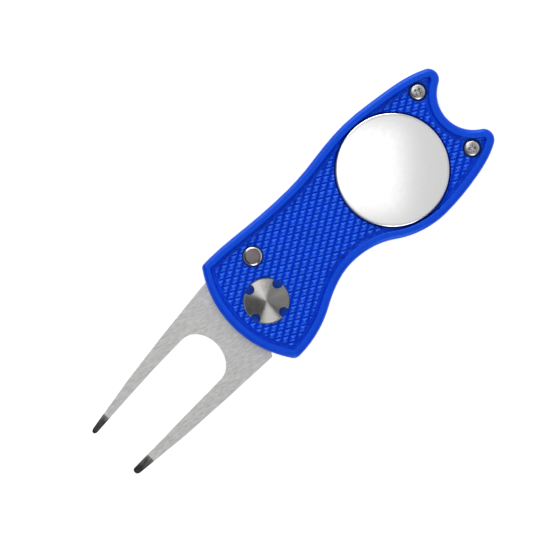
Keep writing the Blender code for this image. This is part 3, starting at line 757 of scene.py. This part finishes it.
def knurl(name, region, outer, inward):
    """Slab of flat-topped pyramids on a diamond lattice, grooved between them, inside a region outline."""
    foot = outer + inward * KNURL_DEPTH
    brow = foot - inward * KNURL_BROW[1]
    peak = foot - inward * KNURL_HEIGHT
    groove = foot + inward * KNURL_GROOVE[1]
    under = outer + inward * (PANEL_DEPTH + 0.3)
    half = KNURL_LONG * KNURL_WIDE / (2.0 * math.hypot(KNURL_LONG, KNURL_WIDE))
    shoulder = 1.0 - KNURL_GROOVE[0] / (2.0 * half)
    xs, ys = [p[0] for p in region], [p[1] for p in region]
    bm = bmesh.new()
    valleys, bottoms, uses = {}, {}, {}

    def place(i, j):
        return (
            KNURL_SHIFT[0] + (i + j) * KNURL_LONG / 2,
            KNURL_SHIFT[1] + (i - j) * KNURL_WIDE / 2,
        )

    def vert(x, y, z):
        return bm.verts.new((x * MM, y * MM, z * MM))

    def shared(store, key, z):
        if key not in store:
            store[key] = vert(*place(*key), z)
        return store[key]

    span = 60
    for i in range(-span, span):
        for j in range(-span, span):
            x, y = place(i + 0.5, j + 0.5)
            if not (
                min(xs) - KNURL_LONG < x < max(xs) + KNURL_LONG
                and min(ys) - KNURL_LONG < y < max(ys) + KNURL_LONG
            ):
                continue
            keys = [(i, j), (i + 1, j), (i + 1, j + 1), (i, j + 1)]
            rings = [[shared(valleys, key, groove) for key in keys]]
            for share, z in ((shoulder, foot), (KNURL_BROW[0], brow), (KNURL_FLAT, peak)):
                corners = [place(*key) for key in keys]
                rings.append([vert(x + (cx - x) * share, y + (cy - y) * share, z) for cx, cy in corners])
            for outer_ring, inner_ring in zip(rings, rings[1:]):
                for k in range(4):
                    bm.faces.new((outer_ring[k - 1], outer_ring[k], inner_ring[k], inner_ring[k - 1]))
            bm.faces.new(rings[-1])
            bm.faces.new([shared(bottoms, key, under) for key in reversed(keys)])
            for a, b in zip(keys, keys[1:] + keys[:1]):
                edge = frozenset((a, b))
                uses[edge] = None if edge in uses else (a, b)
    for pair in uses.values():
        if pair:
            a, b = pair
            bm.faces.new((valleys[b], valleys[a], bottoms[a], bottoms[b]))
    slab = finished(name, bm)
    low, high = sorted((outer - inward * 1.0, outer + inward * (PANEL_DEPTH + 0.2)))
    combine(slab, [prism(name + "_region", region, low, high)], "INTERSECT")
    low, high = sorted((outer - inward * 1.1, outer + inward * (FLOOR_DEPTH + 0.01)))
    clearings = []
    for screw_name in SCREWS:
        x, y = centre_mm(screw_name)
        middle = (x + SCREW_CLEARING[0], y)
        clearings.append(hole(name + screw_name, SCREW_CLEARING[1], low, high, middle))
    return combine(slab, clearings, "DIFFERENCE")


def front_shell():
    outline = handle_outline()
    inner = MIDDLE + SEAM / 2
    above = RIM + 2.0
    shell = rounded_shell("front_shell_skin", outline, RIM, inner)
    combine(shell, [panel_cutter("front_panel", outline, RIM, -1.0)], "DIFFERENCE")
    combine(shell, [panel_floor("front_floor", outline, RIM, -1.0)], "UNION")
    combine(shell, [knurl("front_knurl", inset(outline, KNURL_MARGIN), RIM, -1.0)], "UNION")
    seat_floor = MARKER_LOW - 0.05
    marker_hole = MARKER_RADIUS + MARKER_GAP
    seat = [(0, seat_floor), (marker_hole - 0.2, seat_floor), (marker_hole, seat_floor + 0.2)]
    seat += [(marker_hole, above), (0, above)]
    bore = lobed_outline(BUTTON_RADIUS + CLEARANCE, CAP_NOTCH - LUG_CLEARANCE, NOTCH_INWARD + CLEARANCE)
    cutters = [
        prism("cavity", cavity_outline(), MIDDLE - 1.0, MIDDLE + CAVITY / 2),
        turned("marker_seat", seat, MARKER_PLACE, 160),
        hole("magnet_pocket", MAGNET_RADIUS + PRESS_GAP, MAGNET_LOW - 0.05, seat_floor + 0.3, MARKER_PLACE),
        hole("flange_room", FLANGE_RADIUS + CLEARANCE, MIDDLE - 1.0, FLANGE_TOP + 0.05, steps=96),
        prism("button_bore", bore, FLANGE_TOP - 0.5, above),
        hole("lug_tops", BUTTON_RADIUS + CLEARANCE + 0.04, LUG_TOP, above, steps=96),
        hole("pin_hole", PIN_RADIUS + PRESS_GAP, MIDDLE - 1.0, above, PIN_PLACE),
    ]
    for name in SCREWS:
        cutters.append(hole(name + "_bore", SCREW_BORE, MIDDLE - 1.0, above, centre_mm(name), 32))
        cutters.append(hole(name + "_counterbore", COUNTERBORE_RADIUS, SCREW_SEAT, above, centre_mm(name)))
    cutters.append(hole("button_gap", BUTTON_GAP, GAP_FLOOR, above, steps=96))
    cutters.append(hole("pin_gap", PIN_GAP, GAP_FLOOR, above, PIN_PLACE, 96))
    for i, place in enumerate(PEG_PLACES):
        cutters.append(hole(f"peg_socket_{i}", PEG_RADIUS + 0.1, MIDDLE - 1.0, PEG_TOP + 0.2, place, 24))
    return combine(shell, cutters, "DIFFERENCE")


def back_shell():
    outline = handle_outline()
    inner = MIDDLE - SEAM / 2
    above = MIDDLE + 1.0
    shell = rounded_shell("back_shell_skin", outline, BACK, inner)
    combine(shell, [panel_cutter("back_panel", outline, BACK, 1.0)], "DIFFERENCE")
    combine(shell, [panel_floor("back_floor", outline, BACK, 1.0)], "UNION")
    combine(shell, [knurl("back_knurl", inset(outline, KNURL_MARGIN), BACK, 1.0)], "UNION")
    pad = [(0, BACK), (PAD_RADIUS - 0.3, BACK), (PAD_RADIUS, BACK + 0.25)]
    pad += [(PAD_RADIUS, BACK + 1.5), (0, BACK + 1.5)]
    combine(shell, [turned("back_pad", pad, steps=120)], "UNION")
    cutters = [
        prism("back_cavity", cavity_outline(), MIDDLE - CAVITY / 2, above),
        hole("spring_pocket", POCKET_RADIUS, POCKET_FLOOR, above),
        hole("back_pin_hole", PIN_RADIUS + PRESS_GAP, PIN_LOW - 0.05, above, PIN_PLACE),
        prism("spring_leg_slot", leg_slot_outline(), LEG_SLOT_FLOOR, above),
    ]
    for name in ("upper_insert", "lower_insert"):
        low, high = box_mm(name)
        radius = (high.x - low.x) / 2 + PRESS_GAP
        cutters.append(hole(name + "_hole", radius, low.z - 0.25, above, centre_mm(name), 40))
    combine(shell, cutters, "DIFFERENCE")
    pegs = []
    for i, place in enumerate(PEG_PLACES):
        peg = [(0, MIDDLE - 2.0), (PEG_RADIUS, MIDDLE - 2.0), (PEG_RADIUS, PEG_TOP - 0.3)]
        peg += [(PEG_RADIUS - 0.3, PEG_TOP), (0, PEG_TOP)]
        pegs.append(turned(f"peg_{i}", peg, place, steps=24))
    return combine(shell, pegs, "UNION")


def leg_slot_outline():
    """Slot for the torsion spring's fixed leg, out from the spring's pocket."""
    x, y = math.cos(math.radians(LEG_ANGLE)), math.sin(math.radians(LEG_ANGLE))
    near, far = LEG_SLOT
    sides = (-LEG_SLOT_HALF, LEG_SLOT_HALF)
    corners = [(near, sides[0]), (far, sides[0]), (far, sides[1]), (near, sides[1])]
    return [(r * x - t * y, r * y + t * x) for r, t in corners]


# ---------------------------------------------------------------- fork, button and small parts


def bevelled(name, outline, low, high, cut):
    """A prism with its top and bottom edges broken."""
    inner = grown(outline, -cut)
    return stack(name, [(inner, low), (outline, low + cut), (outline, high - cut), (inner, high)])


def grinding_wedge(name, face, outward):
    """Cutter that thins both tips from one face, evenly to the very end."""
    start, end = TIP_REACH - GROUND_LENGTH, TIP_REACH + 1.0
    slope = GROUND_DEPTH / GROUND_LENGTH
    section = [(-start, face), (-start, face + outward), (-end, face + outward)]
    section.append((-end, face - outward * slope * (end - start)))
    bm = bmesh.new()
    sides = [[bm.verts.new((x * MM, y * MM, z * MM)) for x, z in section] for y in (-12.0, 12.0)]
    for i in range(len(section)):
        bm.faces.new((sides[0][i - 1], sides[0][i], sides[1][i], sides[1][i - 1]))
    for side in sides:
        bm.faces.new(side)
    wedge = finished(name, bm)
    wedge.rotation_euler.z = math.radians(FORK_TILT)
    return wedge


def leg_place():
    """Where the torsion spring's turning leg stands in the fork."""
    return arc((0, 0), LEG_PLACE[0], LEG_PLACE[1], LEG_PLACE[1])[0]


def fork():
    blade = bevelled("fork_blade", fork_outline(), FORK_LOW, FORK_HIGH, 0.09)
    bore = lobed_outline(BUTTON_RADIUS + CLEARANCE, BUTTON_NOTCH - CLEARANCE)
    cutters = [
        prism("fork_hole", bore, FORK_LOW - 1.0, FORK_HIGH + 1.0),
        hole("leg_hole", LEG_HOLE, FORK_LOW - 1.0, FORK_HIGH + 1.0, leg_place(), 24),
        grinding_wedge("upper_grinding", FORK_HIGH, 1.0),
        grinding_wedge("lower_grinding", FORK_LOW, -1.0),
    ]
    return combine(blade, cutters, "DIFFERENCE")


def rounded_edge(radius, top, cut, steps=6, drop=None):
    """Profile points of a rounded edge, from the side of a turned part to its top."""
    drop = drop or cut
    angles = [math.radians(90.0 * i / steps) for i in range(steps + 1)]
    return [(radius - cut + cut * math.cos(a), top - drop + drop * math.sin(a)) for a in angles]


def release_button():
    """Cap with a dished, turned face, the flange below it, the neck and the locking collar."""
    collar_top = BUTTON_LOW + 1.1
    core = [(0, BUTTON_LOW + 0.3), (NECK_RADIUS, BUTTON_LOW + 0.3), (NECK_RADIUS, FLANGE_TOP - 0.6)]
    core += [(FLANGE_RADIUS, FLANGE_TOP - 0.6), (FLANGE_RADIUS, FLANGE_TOP), (0, FLANGE_TOP)]
    button = turned("button_skin", core)
    shape = lobed_outline(BUTTON_RADIUS, CAP_NOTCH, NOTCH_INWARD)
    cone = [(0, BUTTON_TOP), (0.4, BUTTON_TOP - 0.01)]
    cone += [(r, BUTTON_TOP - BUTTON_SLOPE * (r - 0.4)) for r in (2.0, 4.0, 6.5)]
    cone += [(6.5, FLANGE_TOP - 0.4), (0, FLANGE_TOP - 0.4)]
    cap = bevelled("button_cap", shape, FLANGE_TOP - 0.3, BUTTON_TOP + 0.4, 0.05)
    combine(cap, [turned("button_cone", cone, steps=128)], "INTERSECT")
    collar = lobed_outline(BUTTON_RADIUS, BUTTON_NOTCH)
    combine(button, [cap, prism("button_collar", collar, BUTTON_LOW, collar_top)], "UNION")
    inside_radius, inside_top = BUTTON_INSIDE
    inside = hole("button_inside", inside_radius, BUTTON_LOW - 1.0, inside_top)
    combine(button, [inside], "DIFFERENCE")
    bevel = button.modifiers.new("edges", "BEVEL")
    bevel.width = 0.17 * MM
    bevel.segments = 2
    bevel.limit_method = "ANGLE"
    bevel.angle_limit = math.radians(50.0)
    return button


def wire(name, route, diameter):
    """A round wire along a route of (x, y, z)."""
    curve = bpy.data.curves.new(name, "CURVE")
    curve.dimensions = "3D"
    curve.bevel_depth = diameter / 2 * MM
    curve.bevel_resolution = 3
    curve.use_fill_caps = True
    spline = curve.splines.new("POLY")
    spline.points.add(len(route) - 1)
    for point, (x, y, z) in zip(spline.points, route):
        point.co = (x * MM, y * MM, z * MM, 1.0)
    guide = bpy.data.objects.new(name + "_guide", curve)
    bpy.context.scene.collection.objects.link(guide)
    graph = bpy.context.evaluated_depsgraph_get()
    mesh = bpy.data.meshes.new_from_object(guide.evaluated_get(graph))
    bpy.data.objects.remove(guide)
    made = bpy.data.objects.new(name, mesh)
    bpy.context.scene.collection.objects.link(made)
    return made


def coiled(radius, turns, heights, start=0.0, sides=48):
    """Route of a coil whose height after each share of its length is given by (share, height) pairs."""
    count = round(turns * sides)
    route = []
    for i in range(count + 1):
        share = i / count
        for (a, low), (b, high) in zip(heights, heights[1:]):
            if share <= b:
                break
        angle = math.radians(start + 360.0 * turns * share)
        level = low + (high - low) * (share - a) / (b - a)
        route.append((radius * math.cos(angle), radius * math.sin(angle), level))
    return route


def button_spring():
    """Compression spring with a closed coil at each end."""
    low, high = (corner.z for corner in box_mm("button_spring"))
    low, high = low + SPRING_WIRE / 2, high - SPRING_WIRE / 2
    closed, rise = 0.8 / SPRING_TURNS, 0.9 * SPRING_WIRE
    heights = [(0.0, low), (closed, low + rise), (1.0 - closed, high - rise), (1.0, high)]
    spring = wire("button_coil", coiled(SPRING_RADIUS, SPRING_TURNS, heights), SPRING_WIRE)
    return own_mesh(spring)


def torsion_coil():
    """The torsion spring's coil and the leg that stays in the back shell."""
    x, y = math.cos(math.radians(LEG_ANGLE)), math.sin(math.radians(LEG_ANGLE))
    leg = [(radius * x, radius * y, COIL_LOW) for radius in (8.6, 7.4, 6.4)]
    route = coiled(COIL_RADIUS, COIL_TURNS, [(0.0, COIL_LOW), (1.0, COIL_HIGH)], LEG_ANGLE)
    return wire("torsion_coil", leg + route, COIL_WIRE)


def torsion_leg():
    """The torsion spring's end that stands in the fork and turns with it."""
    x, y = leg_place()
    route = [(x, y, COIL_HIGH + 0.1), (x, y, COIL_HIGH + 0.45), (x, y, MIDDLE + 0.4)]
    return wire("torsion_leg", route, COIL_WIRE)


def stop_pin():
    edge = rounded_edge(PIN_RADIUS, PIN_TOP, 0.6, 8, 0.34)
    return turned("pin_skin", [(0, PIN_LOW), (PIN_RADIUS, PIN_LOW), *edge, (0, PIN_TOP)], PIN_PLACE)


def cross_outline(length, width):
    """Plus-shaped outline of the driver's recess."""
    long, short = length / 2, width / 2
    arm = [(long, -short), (long, short), (short, short)]
    points = []
    for quarter in range(4):
        turn = math.radians(90.0 * quarter)
        c, s = math.cos(turn), math.sin(turn)
        points += [(x * c - y * s, x * s + y * c) for x, y in arm]
    return points


def screw(name, spun):
    """Screw with a pan head and a cross recess, turned as far as it happened to stop."""
    under = SCREW_SEAT + 0.05
    profile = [(0, SCREW_LOW), (SCREW_SHANK - 0.2, SCREW_LOW)]
    profile += [(SCREW_SHANK, SCREW_LOW + 0.2), (SCREW_SHANK, under)]
    profile += [(SCREW_HEAD_RADIUS, under), *rounded_edge(SCREW_HEAD_RADIUS, SCREW_TOP - 0.1, 0.42)]
    profile += [(SCREW_HEAD_RADIUS - 0.8, SCREW_TOP - 0.03), (0, SCREW_TOP)]
    made = turned(name + "_skin", profile, steps=64)
    wide, narrow = cross_outline(1.8, 0.56), cross_outline(0.8, 0.22)
    recess = stack(name + "_recess", [(narrow, SCREW_TOP - 1.1), (wide, SCREW_TOP + 0.02)])
    recess.rotation_euler.z = math.radians(spun)
    combine(made, [recess], "DIFFERENCE")
    made.location = [c * MM for c in centre_mm(name)] + [0.0]
    return made


def ball_marker():
    """Polished disc, very slightly crowned, with a rounded edge."""
    crown, rounding = 0.2, 0.26
    flat = MARKER_RADIUS - rounding
    edge = MARKER_TOP - crown
    profile = [(0, MARKER_LOW), (MARKER_RADIUS - 0.25, MARKER_LOW), (MARKER_RADIUS, MARKER_LOW + 0.25)]
    profile += rounded_edge(MARKER_RADIUS, edge, rounding, steps=8)
    for i in range(1, 25):
        radius = flat * (1 - i / 24)
        profile.append((radius, MARKER_TOP - crown * (radius / flat) ** 2))
    return turned("marker_skin", profile, MARKER_PLACE, 192)


# ---------------------------------------------------------------- assembly


def dress(piece, body, slot_name, material, *nodes):
    """Gives a piece its material and its body, and hides the CAD nodes that it stands for; the slot name it
    is given is not used.
    """
    piece.data.materials.clear()
    piece.data.materials.append(material)
    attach(piece, body)
    if nodes:
        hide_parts(*nodes)
    return piece


def main():
    add_camera()
    add_lights()
    add_floor()
    blue = blue_moulding()
    steel = turned_steel()
    dress(smoothed(front_shell(), 17.0), "handle", "blue_moulding", blue, "front_shell")
    dress(smoothed(back_shell(), 17.0), "handle", "blue_moulding", blue, "back_shell")
    dress(smoothed(fork()), "fork", "brushed_stainless", brushed_stainless(), "fork")
    dress(smoothed(release_button()), "release_button", "turned_steel", steel, "release_button")
    dress(smoothed(stop_pin()), "handle", "turned_steel", pin_steel(), "stop_pin")
    screw_steel = plain_metal("screw_steel", (0.62, 0.6, 0.6), 0.2, 0.3)
    for name, spun in zip(SCREWS, (20.0, -35.0)):
        dress(smoothed(screw(name, spun)), "handle", "turned_steel", screw_steel, name)
    polished = plain_metal("polished_marker", (0.95, 0.95, 0.95), 0.10, 0.13)
    dress(smoothed(ball_marker()), "ball_marker", "polished_marker", polished, "ball_marker")
    spring_steel = plain_metal("spring_steel", (0.4, 0.4, 0.41), 0.25, 0.35)
    dress(button_spring(), "handle", "spring_steel", spring_steel, "button_spring")
    dress(torsion_coil(), "handle", "spring_steel", spring_steel, "torsion_spring")
    dress(torsion_leg(), "fork", "spring_steel", spring_steel)
    bronze = plain_metal("bronze", (0.6, 0.42, 0.2), 0.3, 0.4)
    brass = plain_metal("brass", (0.72, 0.55, 0.24), 0.25, 0.35)
    finishes = {
        "marker_magnet": plain_metal("nickel_plate", (0.62, 0.6, 0.56), 0.2, 0.3),
        "front_washer": bronze,
        "back_washer": bronze,
        "spring_seat": steel,
        "upper_insert": brass,
        "lower_insert": brass,
    }
    for name, material in finishes.items():
        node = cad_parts[name]
        node.data.materials.clear()
        node.data.materials.append(material)


main()
